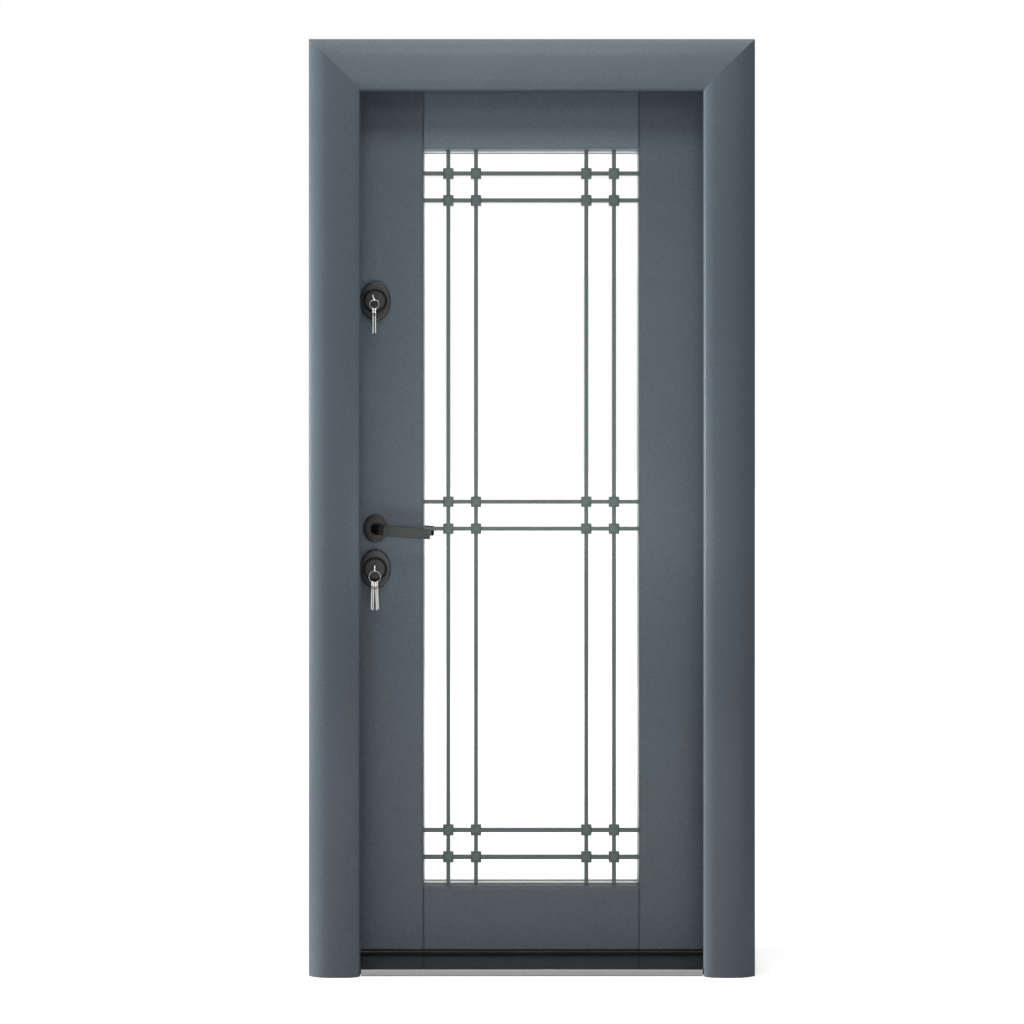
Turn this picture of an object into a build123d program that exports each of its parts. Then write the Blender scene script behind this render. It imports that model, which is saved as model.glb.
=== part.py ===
from build123d import *
import os
from math import copysign, cos, radians, sin, sqrt, tan

# Metal entry door with a glazed, barred leaf in a folded steel frame.
# Millimetres. X runs to the right, Y away from the outside, Z up.
# The face of the wall is y = 0 and the floor is z = 0.

# Overall sizes of the doorway
overall_width = 1000.0
overall_height = 2100.0
casing_width = 117.0
casing_projection = 24.0
casing_edge_depth = 8.0
casing_crest_inset = 57.0
casing_nose_radius = 12.0
casing_nose_end = 4.0
casing_lip = 42.0
casing_sheet = 2.0

# Folded steel frame behind the casing
frame_sheet = 2.0
reveal_setback = 24.0
reveal_depth = 90.0
leaf_lap = 23.0
leaf_side_gap = 9.0
flange_reach = 73.0
rear_step = 3.0
rear_lip_depth = 14.0
fixing_radius = 5.5
fixing_setback = 14.0
fixing_inset = 200.0

# Threshold
sill_top = 15.0
sill_sheet = 1.5
sill_nosing = 14.0
sill_lip_bottom = 2.0
sill_bend = 1.4
sill_side_gap = 0.3
sill_casing_gap = 0.5
sill_core_inset = 0.5

# Leaf
leaf_thickness = 65.0
leaf_floor_gap = 9.0
seal_space = 6.0
stile_width = 180.0
top_rail_height = 152.0
bottom_rail_height = 144.0
groove_half_width = 2.75
opening_bevel = 5.0
glass_cover = 12.0
reveal_to_glass = 30.0

# Double glazing
pane_thickness = 5.0
cavity_depth = 16.0
glass_edge_gap = 4.0
spacer_width = 6.0
spacer_inset = 2.0

# Barred grille with a square block and a round boss at each crossing
bar_size = 9.0
bar_setback = 20.0
block_size = 24.0
block_depth = 11.0
block_bevel = 1.5
boss_margin = 0.7
boss_radius = block_size / 2 - boss_margin
boss_height = 3.5
boss_bevel = 2.0
upright_side_inset = 57.0
upright_spacing = 64.5
crossbar_top_inset = 54.0
crossbar_bottom_inset = 64.0
crossbar_spacing = 62.7

# Seals
seal_width = 12.0
seal_clearance = 0.3

# Lock furniture on the left stile
lock_backset = 69.5
upper_lock_z = 1524.0
lever_z = 998.0
lower_lock_z = 904.5
plate_half_width = 35.5
plate_half_height = 45.5
plate_thickness = 9.0
plate_rounding = 4.0
ring_outer = 27.6
ring_inner = 22.8
ring_height = 3.0
ring_bevel = 1.2
disc_clearance = 0.2
disc_recess = 1.5
barrel_radius = 8.5
lug_width = 10.0
lug_drop = 20.0
barrel_clearance = 0.5
barrel_tail = 5.0
fit_clearance = 0.05
plug_radius = 7.0
plug_depth = 30.0
plug_proud = 1.0
plug_end_gap = 1.0

# Keys
key_thickness = 3.0
blade_width = 8.0
blade_depth = 24.0
blade_tip = 4.0
blade_clearance = 0.1
bow_length = 20.0
bow_height = 18.0
bow_rounding = 6.0
neck_length = 5.0
key_hole_radius = 2.9
key_hole_drop = 4.8
key_hole_from_end = 5.0
wire_radius = 1.1
wire_sides = 8
hang_clearance = 0.5
spare_thickness = 2.6
spare_bow_thickness = 3.6
spare_bow_radius = 8.5
spare_hole_radius = 3.2
spare_rim = 1.6
spare_blade_width = 7.0

# Each lock: height, key axis across and up from its centre, tilt of the key, radius
# of its key ring, places of the spare keys on the ring, their length and outward lean
upper_lock = dict(z=upper_lock_z, shift=-2.0, rise=4.8, tilt=-24.0, ring=10.4)
upper_lock.update(spares=(-2.5, 2.5), length=62.0, lean=0.5)
lower_lock = dict(z=lower_lock_z, shift=1.0, rise=3.5, tilt=0.0, ring=13.3)
lower_lock.update(spares=(-5.9, -2.1, 2.1, 5.9), length=69.0, lean=2.0)

# Lever handle
rose_half_width = 28.5
rose_half_height = 33.0
rose_base = 5.0
rose_step = 4.0
rose_height = 8.0
rose_rounding = 2.0
neck_radius = 9.0
neck_clearance = 0.3
neck_gap = 0.5
lever_stand_off = 49.5
lever_length = 130.0
lever_bar_height = 22.5
lever_bar_depth = 12.0
lever_rounding = 4.0
lever_bend_radius = 19.0
lever_taper = 0.5
lever_droop = 4.2
spindle_size = 8.0
spindle_hole_radius = 8.0

# Lock edge
faceplate_width = 24.0
faceplate_thickness = 3.0
faceplate_bottom = 840.0
faceplate_top = 1600.0
bolt_radius = 9.0
bolt_depth = 40.0
bolt_clearance = 0.2
bolt_spacing = 34.0
latch_height = 30.0
latch_width = 14.0
strike_clearance = 1.5

# Hinges on the inside of the right stile
hinge_inset = 233.0
hinge_out = 10.0
hinge_back = 12.0
knuckle_radius = 8.0
knuckle_length = 40.0
knuckle_cap = 1.5
knuckle_gap = 0.5
pin_radius = 4.0
pin_clearance = 0.08
hinge_plate = 3.0
hinge_plate_width = 34.0

# How far a cut runs past the face that it opens
overcut = 1.0

# Places worked out from the sizes above
half_width = overall_width / 2
casing_inner = half_width - casing_width
reveal_x = casing_inner + reveal_setback
leaf_x = reveal_x + leaf_lap
rebate_x = leaf_x + leaf_side_gap
# The frame's mitre: height of a head piece = side piece's x + this rise
mitre_rise = overall_height - half_width
leaf_front = reveal_depth + seal_space
leaf_rear = leaf_front + leaf_thickness
leaf_middle = leaf_front + leaf_thickness / 2
frame_rear = leaf_rear + rear_step
leaf_bottom = sill_top + leaf_floor_gap
leaf_top = leaf_x + mitre_rise
opening_x = leaf_x - stile_width
opening_bottom = leaf_bottom + bottom_rail_height
opening_top = leaf_top - top_rail_height
glass_front_y = leaf_front + reveal_to_glass
cavity_front_y = glass_front_y + pane_thickness
cavity_rear_y = cavity_front_y + cavity_depth
glass_rear_y = cavity_rear_y + pane_thickness
bar_y = leaf_front + bar_setback
lock_x = lock_backset - leaf_x
hinge_x = leaf_x + hinge_out
hinge_y = leaf_rear + hinge_back


def save(name, *solids):
    shape = solids[0] if len(solids) == 1 else Compound(children=list(solids))
    shape.label = name
    export_step(shape, os.path.join("parts", name + ".step"))


def block(x0, x1, y0, y1, z0, z1):
    size = (x1 - x0, y1 - y0, z1 - z0)
    return Pos((x0 + x1) / 2, (y0 + y1) / 2, (z0 + z1) / 2) * Box(*size)


def polygon(points):
    return make_face(Polyline(*points, close=True))


def oval(half_wide, half_high):
    # Four tangent arcs, the ends as tightly curved as those of an ellipse
    end_radius = half_wide**2 / half_high
    reach = half_high - end_radius
    side_radius = (half_wide**2 + reach**2 - end_radius**2) / (2 * (half_wide - end_radius))
    share = end_radius / (side_radius - end_radius)
    join_x = share * (side_radius - half_wide)
    join_z = (1 + share) * reach
    joins = [(join_x, join_z), (-join_x, join_z), (-join_x, -join_z), (join_x, -join_z)]
    middles = [(0, half_high), (-half_wide, 0), (0, -half_high), (half_wide, 0)]
    ends = joins[1:] + joins[:1]
    return make_face([ThreePointArc(*arc) for arc in zip(joins, middles, ends)])


def raised(face, bottom, top):
    return Pos(0, 0, bottom) * extrude(face, amount=top - bottom, dir=(0, 0, 1))


def facing_out(face, y_back, depth):
    # A face drawn in X and Z, made thick towards the outside from y_back
    return Pos(0, y_back, 0) * extrude(Plane.XZ * face, amount=depth, dir=(0, -1, 0))


def front_edges(solid):
    return solid.faces().sort_by(Axis.Y)[0].edges()


def sheet_section(points, thickness):
    # The outline of sheet folded along the points, thick on its left
    lines = []
    for (x0, y0), (x1, y1) in zip(points, points[1:]):
        length = sqrt((x1 - x0) ** 2 + (y1 - y0) ** 2)
        shift = (-(y1 - y0) / length * thickness, (x1 - x0) / length * thickness)
        lines.append(((x0 + shift[0], y0 + shift[1]), (x1 + shift[0], y1 + shift[1])))
    far_side = [lines[0][0]]
    for first, second in zip(lines, lines[1:]):
        upright_first = first[0][0] == first[1][0]
        corner = (first[1][0], second[0][1]) if upright_first else (second[0][0], first[1][1])
        far_side.append(corner)
    far_side.append(lines[-1][1])
    return polygon(list(points) + far_side[::-1])


# The frame: one section serves the sides and, turned on its end, the head

def mitre_limit(head):
    # The space on one side of the right mitre, or for the head above both mitres
    reach = casing_width / 3
    inner = casing_inner - reach
    outer = half_width + reach
    if head:
        corners = [(-outer, outer + mitre_rise), (outer, outer + mitre_rise)]
        corners += [(inner, inner + mitre_rise), (-inner, inner + mitre_rise)]
    else:
        corners = [(inner, 0), (outer, 0), (outer, outer + mitre_rise), (inner, inner + mitre_rise)]
    return facing_out(polygon(corners), frame_rear + reach, frame_rear + casing_projection + 2 * reach)


def mitred_trio(section, foot=0.0):
    right = raised(section, foot, overall_height) & mitre_limit(head=False)
    left = mirror(right, about=Plane.YZ)
    on_end = Plane(origin=(-half_width, 0, mitre_rise), x_dir=(0, 0, 1), z_dir=(-1, 0, 0))
    head = extrude(on_end * section, amount=overall_width, dir=(1, 0, 0)) & mitre_limit(head=True)
    return left, right, head


def casing_section():
    # One arc falls from the crest to the outer edge, a flatter one runs into the nose
    crest_x = casing_inner + casing_crest_inset
    crest = (crest_x, -casing_projection)
    edge = (half_width, -casing_edge_depth)
    nose_end = (casing_inner, -casing_nose_end)
    across = casing_crest_inset - casing_nose_radius
    rise = casing_projection - casing_nose_end
    flat_radius = (across**2 + rise**2 - casing_nose_radius**2) / (2 * (rise - casing_nose_radius))
    share = flat_radius / (flat_radius - casing_nose_radius)
    join = (crest_x - share * across, -casing_projection + flat_radius * (1 - share) + share * rise)
    back = -frame_sheet
    outline = [
        Line((half_width, back), edge),
        TangentArc(crest, edge, tangent=(1, 0)),
        TangentArc(crest, join, tangent=(-1, 0)),
        TangentArc(nose_end, join, tangent=(0, -1)),
        Line(nose_end, (casing_inner, back)),
        Line((casing_inner, back), (half_width, back)),
    ]
    full = make_face(outline)
    hollow = offset(full, amount=-casing_sheet, kind=Kind.INTERSECTION)
    inside = half_width - casing_sheet
    open_back = polygon([
        (casing_inner + casing_lip, back),
        (inside, back),
        (inside, back - casing_sheet - overcut),
        (casing_inner + casing_lip, back - casing_sheet - overcut),
    ])
    edge_foot = polygon([(inside, back), (half_width, back), (half_width, 0), (inside, 0)])
    return full - hollow - open_back + edge_foot


def jamb_section():
    points = [
        (reveal_x + flange_reach, -frame_sheet),
        (reveal_x, -frame_sheet),
        (reveal_x, reveal_depth),
        (rebate_x + frame_sheet, reveal_depth),
    ]
    return sheet_section(points, -frame_sheet)


def rebate_section():
    points = [
        (rebate_x, reveal_depth),
        (rebate_x, frame_rear),
        (reveal_x + flange_reach, frame_rear),
        (reveal_x + flange_reach, frame_rear - rear_lip_depth),
    ]
    return sheet_section(points, -frame_sheet)


def fixing_heights():
    # Near both ends and at the thirds between
    thirds = [overall_height / 3, overall_height * 2 / 3]
    return [fixing_inset] + thirds + [overall_height - fixing_inset]


def rebate_trio():
    # The inner half of the frame, drilled for wall fixings and cut for the strike
    left, right, head = mitred_trio(rebate_section())
    for z in fixing_heights():
        place = Pos(0, frame_rear - fixing_setback, z) * Rot(0, 90, 0)
        hole = place * Cylinder(fixing_radius, overall_width)
        left -= hole
        right -= hole
    left -= edge_strip(-rebate_x - frame_sheet - overcut, -rebate_x + overcut)
    return left, right, head


def seal_section():
    centre = reveal_x + leaf_lap / 2
    half = seal_width / 2
    height = seal_space - seal_clearance
    return polygon([
        (centre - half, reveal_depth),
        (centre + half, reveal_depth),
        (centre + half / 2, reveal_depth + height),
        (centre - half / 2, reveal_depth + height),
    ])


def edge_strip(x0, x1):
    # The strip that the face plate and the strike plate share, between two places in X
    half = faceplate_width / 2
    return block(x0, x1, leaf_middle - half, leaf_middle + half, faceplate_bottom, faceplate_top)


def strike_plate():
    # Round mouths for the bolts and a square one for the latch
    plate = edge_strip(-rebate_x - frame_sheet, -rebate_x)
    for z in bolt_heights():
        hole = Rot(0, 90, 0) * Cylinder(bolt_radius + strike_clearance, 4 * frame_sheet)
        plate -= Pos(-rebate_x, leaf_middle, z) * hole
    mouth = Box(4 * frame_sheet, latch_width + 2 * strike_clearance, latch_height + 2 * strike_clearance)
    return plate - Pos(-rebate_x, leaf_middle, lever_z) * mouth


def threshold_outline(inset, front):
    step_front = -frame_sheet + sill_casing_gap + inset
    step_rear = reveal_depth + sill_side_gap + inset
    edge = sill_side_gap + inset
    side = [
        (casing_inner - edge, front),
        (casing_inner - edge, step_front),
        (reveal_x - edge, step_front),
        (reveal_x - edge, step_rear),
        (rebate_x - edge, step_rear),
        (rebate_x - edge, frame_rear),
    ]
    return side + [(-x, y) for x, y in reversed(side)]


def threshold():
    top = raised(polygon(threshold_outline(0, -sill_nosing)), sill_top - sill_sheet, sill_top)
    lip_x = casing_inner - sill_side_gap
    whole = top + block(-lip_x, lip_x, -sill_nosing, -sill_nosing + sill_sheet, sill_lip_bottom, sill_top)
    bend = whole.edges().filter_by(Axis.X).group_by(Axis.Y)[0].sort_by(Axis.Z)[-1]
    return fillet(bend, sill_bend)


def sill_core():
    front = -sill_nosing + sill_sheet
    return raised(polygon(threshold_outline(sill_core_inset, front)), 0, sill_top - sill_sheet)


# The leaf

def stile():
    # The right stile, with the glazing rebate down its inner edge
    points = [
        (opening_x + groove_half_width, leaf_front),
        (leaf_x, leaf_front),
        (leaf_x, leaf_rear),
        (opening_x + glass_cover, leaf_rear),
        (opening_x + glass_cover, glass_front_y),
        (opening_x, glass_front_y),
        (opening_x, leaf_front + groove_half_width),
    ]
    return raised(polygon(points), leaf_bottom, leaf_top)


def rail(outer, inner, into):
    # A rail between the stiles, by the heights of its two edges
    # into is +1 where the opening lies above the rail and -1 below it
    section = [
        (leaf_front, outer),
        (leaf_front, inner - into * opening_bevel),
        (leaf_front + opening_bevel, inner),
        (glass_front_y, inner),
        (glass_front_y, inner - into * glass_cover),
        (leaf_rear, inner - into * glass_cover),
        (leaf_rear, outer),
    ]
    half = opening_x + glass_cover
    side_view = Plane(origin=(-half, 0, 0), x_dir=(0, 1, 0), z_dir=(1, 0, 0))
    beam = extrude(side_view * polygon(section), amount=2 * half, dir=(1, 0, 0))
    right_end = [
        (opening_x - groove_half_width, leaf_front),
        (opening_x, leaf_front + groove_half_width),
        (opening_x, glass_front_y),
        (half, glass_front_y),
        (half, leaf_rear),
    ]
    plan = right_end + [(-x, y) for x, y in reversed(right_end)]
    return beam & raised(polygon(plan), leaf_bottom, leaf_top)


def euro_profile(clearance):
    # A round barrel with the flat lug below it
    lug = Rectangle(lug_width + 2 * clearance, lug_drop + 2 * clearance)
    return Circle(barrel_radius + clearance) + Pos(0, -lug_drop / 2) * lug


def key_axis(lock):
    return lock_x + lock["shift"], lock["z"] + lock["rise"]


def lock_hole(lock):
    x, z = key_axis(lock)
    hole = facing_out(euro_profile(barrel_clearance), leaf_rear + overcut, leaf_thickness + 2 * overcut)
    return Pos(x, 0, z) * hole


def bolt_heights():
    return [z + step for z in (upper_lock_z, lower_lock_z) for step in (-bolt_spacing, 0, bolt_spacing)]


def bolt(z, clearance):
    length = bolt_depth + clearance
    place = Pos(-leaf_x + length / 2, leaf_middle, z) * Rot(0, 90, 0)
    return place * Cylinder(bolt_radius + clearance, length)


def lock_stile():
    solid = mirror(stile(), about=Plane.YZ)
    for lock in (upper_lock, lower_lock):
        solid -= lock_hole(lock)
    through = Cylinder(spindle_hole_radius, leaf_thickness + 2 * overcut)
    solid -= Pos(lock_x, leaf_middle, lever_z) * Rot(90, 0, 0) * through
    solid -= edge_strip(-leaf_x - overcut, -leaf_x + faceplate_thickness)
    for z in bolt_heights():
        solid -= bolt(z, bolt_clearance)
    return solid


def faceplate():
    plate = edge_strip(-leaf_x, -leaf_x + faceplate_thickness)
    for z in bolt_heights():
        plate -= bolt(z, bolt_clearance)
    return plate


# Glazing

def frame_ring(outer_grow, inner_grow, y0, y1):
    # A rectangular ring round the opening, between two growths of it
    height = opening_top - opening_bottom
    middle = (opening_top + opening_bottom) / 2
    outer = Rectangle(2 * (opening_x + outer_grow), height + 2 * outer_grow)
    inner = Rectangle(2 * (opening_x + inner_grow), height + 2 * inner_grow)
    return Pos(0, 0, middle) * facing_out(outer - inner, y1, y1 - y0)


def pane(y0):
    grow = glass_cover - glass_edge_gap
    half = opening_x + grow
    return block(-half, half, y0, y0 + pane_thickness, opening_bottom - grow, opening_top + grow)


# The grille: two pairs of uprights, and crossbars in three pairs

def upright_places():
    outer = opening_x - upright_side_inset
    return [-outer, -outer + upright_spacing, outer - upright_spacing, outer]


def crossbar_heights():
    top = opening_top - crossbar_top_inset
    bottom = opening_bottom + crossbar_bottom_inset
    middle = (top + bottom) / 2
    half = crossbar_spacing / 2
    pairs = {"top": top - half, "middle": middle, "bottom": bottom + half}
    return {name: (z - half, z + half) for name, z in pairs.items()}


def cross_block():
    # A square plate with bevelled edges, and a bevelled round boss on its face
    plate = Box(block_size, block_depth, block_size)
    plate = chamfer(front_edges(plate), block_bevel)
    boss = facing_out(Circle(boss_radius), 0, block_depth / 2 + boss_height)
    return plate + chamfer(front_edges(boss), boss_bevel)


def upright(x):
    half = bar_size / 2
    bar = block(x - half, x + half, bar_y - half, bar_y + half, opening_bottom, opening_top)
    for pair in crossbar_heights().values():
        for z in pair:
            bar += Pos(x, bar_y, z) * cross_block()
    return bar


def crossbar(z):
    # The lengths of bar between one block and the next
    half = bar_size / 2
    clear = block_size / 2
    starts = [-opening_x] + [x + clear for x in upright_places()]
    ends = [x - clear for x in upright_places()] + [opening_x]
    return [block(x0, x1, bar_y - half, bar_y + half, z - half, z + half) for x0, x1 in zip(starts, ends)]


# Lock furniture

def escutcheon(lock):
    plate = facing_out(oval(plate_half_width, plate_half_height), leaf_front, plate_thickness)
    plate = fillet(front_edges(plate), plate_rounding)
    ring = facing_out(Circle(ring_outer), leaf_front, plate_thickness + ring_height)
    plate += chamfer(front_edges(ring), ring_bevel)
    through = plate_thickness + ring_height + 2 * overcut
    plate -= facing_out(Circle(ring_inner), leaf_front + overcut, through)
    return Pos(lock_x, 0, lock["z"]) * plate


def disc_front():
    return leaf_front - plate_thickness - ring_height + disc_recess


def cylinder(lock):
    x, z = key_axis(lock)
    front = disc_front()
    disc = facing_out(Circle(ring_inner - disc_clearance), leaf_front, leaf_front - front)
    barrel = facing_out(euro_profile(0), leaf_rear + barrel_tail, leaf_thickness + barrel_tail)
    bore = facing_out(Circle(plug_radius + fit_clearance), front + plug_depth, plug_depth + overcut)
    return Pos(lock_x, 0, lock["z"]) * disc + Pos(x, 0, z) * barrel - Pos(x, 0, z) * bore


def plug(lock):
    x, z = key_axis(lock)
    front = disc_front()
    length = plug_depth - plug_end_gap
    body = facing_out(Circle(plug_radius), front + length, length + plug_proud)
    half = key_thickness / 2 + blade_clearance
    rise = blade_width / 2 + blade_clearance
    slot_end = front + blade_depth + blade_clearance
    body -= block(-half, half, front - plug_proud - overcut, slot_end, -rise, rise)
    return Pos(x, 0, z) * Rot(0, lock["tilt"], 0) * body


def edge_on(outline, thickness):
    # A key's outline, drawn in Y and Z, made thick both ways in X
    side = Plane(origin=(-thickness / 2, 0, 0), x_dir=(0, 1, 0), z_dir=(1, 0, 0))
    return extrude(side * outline, amount=thickness, dir=(1, 0, 0))


def key_front():
    # The outermost end of the key's bow
    return disc_front() - plug_proud - neck_length - bow_length


def key_hole_y():
    return key_front() + key_hole_from_end


def key(lock):
    # The blade lies in the plug and the bow stands out, edge on to the front
    x, z = key_axis(lock)
    blade_end = disc_front() + blade_depth
    half = blade_width / 2
    bow_end = key_front() + bow_length
    blade = polygon([
        (bow_end - overcut, -half),
        (blade_end - blade_tip, -half),
        (blade_end, 0),
        (blade_end - blade_tip / 2, half),
        (bow_end - overcut, half),
    ])
    bow = Pos(bow_end - bow_length / 2, 0) * RectangleRounded(bow_length, bow_height, bow_rounding)
    hole = Pos(key_hole_y(), -key_hole_drop) * Circle(key_hole_radius)
    return Pos(x, 0, z) * Rot(0, lock["tilt"], 0) * edge_on(blade + bow - hole, key_thickness)


def hang_room(hole_radius, thickness, slope):
    # How far off a hole's centre a wire rests that crosses the plate at this slope
    return hole_radius - hang_clearance - slope * thickness / 2 - wire_radius * sqrt(1 + slope**2)


def ring_centre(lock):
    # The ring hangs in the key's hole, which the tilt carries to one side
    x, z = key_axis(lock)
    tilt = radians(lock["tilt"])
    hole_x = x - key_hole_drop * sin(tilt)
    hole_z = z - key_hole_drop * cos(tilt)
    drop = hang_room(key_hole_radius, key_thickness, abs(tan(tilt)))
    return hole_x, hole_z - drop - lock["ring"]


def key_ring(lock):
    x, z = ring_centre(lock)
    wire = Pos(lock["ring"], 0) * RegularPolygon(wire_radius, wire_sides)
    return Pos(x, key_hole_y(), z) * revolve(wire, Axis.Y)


def spare_key(lock, across):
    # Hangs from the lower half of the ring, its hole round the wire
    x, z = ring_centre(lock)
    wire_z = -sqrt(lock["ring"] ** 2 - across**2)
    slope = abs(across / wire_z) + tan(radians(lock["lean"]))
    hole_z = wire_z - hang_room(spare_hole_radius, spare_bow_thickness, slope)
    bow_z = spare_hole_radius + spare_rim - spare_bow_radius
    tip_z = spare_hole_radius + spare_rim - lock["length"]
    half = spare_blade_width / 2
    blade = polygon([
        (-half, bow_z),
        (half, bow_z),
        (half, tip_z + blade_tip),
        (half / 3, tip_z),
        (-half, tip_z + blade_tip / 2),
    ])
    bow = Pos(0, bow_z) * Circle(spare_bow_radius)
    solid = edge_on(blade, spare_thickness) + edge_on(bow, spare_bow_thickness)
    solid -= edge_on(Circle(spare_hole_radius), spare_bow_thickness + overcut)
    outward = -copysign(lock["lean"], across)
    return Pos(x + across, key_hole_y(), z + hole_z) * Rot(0, outward, 0) * solid


# Lever handle, drawn for the outside and mirrored to the inside

def rose():
    base = facing_out(oval(rose_half_width, rose_half_height), leaf_front, rose_base)
    dome = oval(rose_half_width - rose_step, rose_half_height - rose_step)
    dome = facing_out(dome, leaf_front, rose_height)
    plate = chamfer(front_edges(base), rose_rounding / 2) + fillet(front_edges(dome), rose_rounding)
    neck_hole = Circle(neck_radius + neck_clearance)
    plate -= facing_out(neck_hole, leaf_front + overcut, rose_height + 2 * overcut)
    return Pos(lock_x, 0, lever_z) * plate


def lever():
    # A round neck, a quarter bend of flattened section, and a bar that tapers to its tip
    bar_centre_y = leaf_front - lever_stand_off
    bend_y = bar_centre_y + lever_bend_radius
    flat_part = neck_radius - lever_bar_depth / 2
    neck = facing_out(Circle(neck_radius), leaf_front - neck_gap, leaf_front - neck_gap - bend_y + flat_part)
    neck = chamfer(front_edges(neck), flat_part)
    section = RectangleRounded(lever_bar_depth, lever_bar_height, lever_rounding)
    bend_start = Pos(0, bend_y, 0) * (Plane.XZ * section)
    bend = revolve(bend_start, Axis((lever_bend_radius, bend_y, 0), (0, 0, 1)), 90)
    bar_start = Plane(origin=(lever_bend_radius, bar_centre_y, 0), x_dir=(0, 1, 0), z_dir=(1, 0, 0))
    bar = extrude(bar_start * section, amount=lever_length - lever_bend_radius, taper=lever_taper)
    whole = neck + Rot(0, lever_droop, 0) * (bend + bar)
    return Pos(lock_x, 0, lever_z) * whole


def to_inside(solid):
    # The inside furniture mirrors the outside across the leaf's middle
    return mirror(solid, about=Plane.XZ.offset(-leaf_middle))


def spindle():
    half = spindle_size / 2
    ends = (leaf_front - neck_gap, leaf_rear + neck_gap)
    return block(lock_x - half, lock_x + half, *ends, lever_z - half, lever_z + half)


# Hinges

def hinge_heights():
    low = leaf_bottom + hinge_inset
    high = leaf_top - hinge_inset
    return [low, (low + high) / 2, high]


def at_hinge(radius):
    return Pos(hinge_x, hinge_y) * Circle(radius)


def frame_hinge(z):
    plate = [(hinge_x, frame_rear), (hinge_x + hinge_plate_width, frame_rear)]
    plate += [(x, y + hinge_plate) for x, y in reversed(plate)]
    solid = raised(at_hinge(knuckle_radius) + polygon(plate), z - knuckle_length, z)
    pin_top = z + knuckle_length - knuckle_cap - knuckle_gap
    return solid + raised(at_hinge(pin_radius), z - overcut, pin_top)


def leaf_hinge(z):
    # A plate on the leaf that curls out to its half of the knuckle
    plate = [(leaf_x - hinge_plate_width, leaf_rear), (leaf_x, leaf_rear)]
    curl = [(hinge_x - knuckle_radius / 2, hinge_y - knuckle_radius / 2), (hinge_x - knuckle_radius, hinge_y)]
    back = [(leaf_x - hinge_plate, leaf_rear + hinge_plate)]
    back += [(leaf_x - hinge_plate_width, leaf_rear + hinge_plate)]
    section = at_hinge(knuckle_radius) + polygon(plate + curl + back)
    solid = raised(section, z + knuckle_gap, z + knuckle_length)
    bore = raised(at_hinge(pin_radius + pin_clearance), z - overcut, z + knuckle_length - knuckle_cap)
    return solid - bore


def main():
    os.makedirs("parts", exist_ok=True)
    trios = {
        "casing": mitred_trio(casing_section()),
        "jamb": mitred_trio(jamb_section()),
        "rebate": rebate_trio(),
    }
    for name, trio in trios.items():
        for side, solid in zip(("left", "right", "head"), trio):
            save(f"{name}_{side}", solid)
    save("strike_plate", strike_plate())
    seals = mitred_trio(seal_section(), sill_top + seal_clearance)
    save("frame_seal", seals[0] + seals[2] + seals[1])
    save("threshold", threshold())
    save("sill_core", sill_core())
    save("frame_hinges", *[frame_hinge(z) for z in hinge_heights()])

    save("stile_right", stile())
    save("stile_left", lock_stile())
    save("top_rail", rail(leaf_top, opening_top, -1))
    save("bottom_rail", rail(leaf_bottom, opening_bottom, 1))
    save("glass_outer", pane(glass_front_y))
    save("glass_inner", pane(cavity_rear_y))
    grow = glass_cover - glass_edge_gap - spacer_inset
    save("glass_spacer", frame_ring(grow, grow - spacer_width, cavity_front_y, cavity_rear_y))
    save("glazing_bead", frame_ring(glass_cover, 0, glass_rear_y, leaf_rear))
    save("grille_uprights_left", *[upright(x) for x in upright_places()[:2]])
    save("grille_uprights_right", *[upright(x) for x in upright_places()[2:]])
    for name, pair in crossbar_heights().items():
        save(f"grille_crossbars_{name}", *[piece for z in pair for piece in crossbar(z)])
    save("lock_faceplate", faceplate())
    save("lock_bolts", *[bolt(z, 0) for z in bolt_heights()])
    save("leaf_hinges", *[leaf_hinge(z) for z in hinge_heights()])

    for name, lock in (("upper", upper_lock), ("lower", lower_lock)):
        save(f"{name}_escutcheon", escutcheon(lock))
        save(f"{name}_cylinder", cylinder(lock))
        save(f"{name}_plug", plug(lock))
        save(f"{name}_key", key(lock))
        save(f"{name}_key_ring", key_ring(lock))
        save(f"{name}_spare_keys", *[spare_key(lock, across) for across in lock["spares"]])
    save("outer_rose", rose())
    save("inner_rose", to_inside(rose()))
    save("outer_lever", lever())
    save("inner_lever", to_inside(lever()))
    save("spindle", spindle())


main()
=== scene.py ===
from math import cos, degrees, pi, radians, sin, sqrt, tan

import bmesh
import bpy
from mathutils import Matrix, Vector


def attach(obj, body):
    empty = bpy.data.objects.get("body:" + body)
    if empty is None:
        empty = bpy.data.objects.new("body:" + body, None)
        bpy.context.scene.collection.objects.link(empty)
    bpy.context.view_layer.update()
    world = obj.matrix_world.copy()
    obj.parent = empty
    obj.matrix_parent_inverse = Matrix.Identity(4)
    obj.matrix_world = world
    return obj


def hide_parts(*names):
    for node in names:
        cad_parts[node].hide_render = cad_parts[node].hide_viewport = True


# A glazed metal entry door in its frame. Metres: X to the right, Y into the house, Z up.

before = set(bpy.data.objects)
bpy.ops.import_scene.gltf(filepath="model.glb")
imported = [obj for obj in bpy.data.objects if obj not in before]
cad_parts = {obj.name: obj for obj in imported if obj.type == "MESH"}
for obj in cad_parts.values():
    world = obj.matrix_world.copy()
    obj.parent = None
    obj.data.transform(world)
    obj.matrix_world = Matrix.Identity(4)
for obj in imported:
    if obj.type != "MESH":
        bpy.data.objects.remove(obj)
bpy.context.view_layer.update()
scene = bpy.context.scene
mm = 0.001
print("frame loaded")


# Camera, as the door was photographed

cameraSetup = {
    "place": (-0.0446, -3.224, 1.1526),
    "lens": 50.4,
    "sensor": 36.0,
    "shiftY": -0.0491,
}


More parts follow.
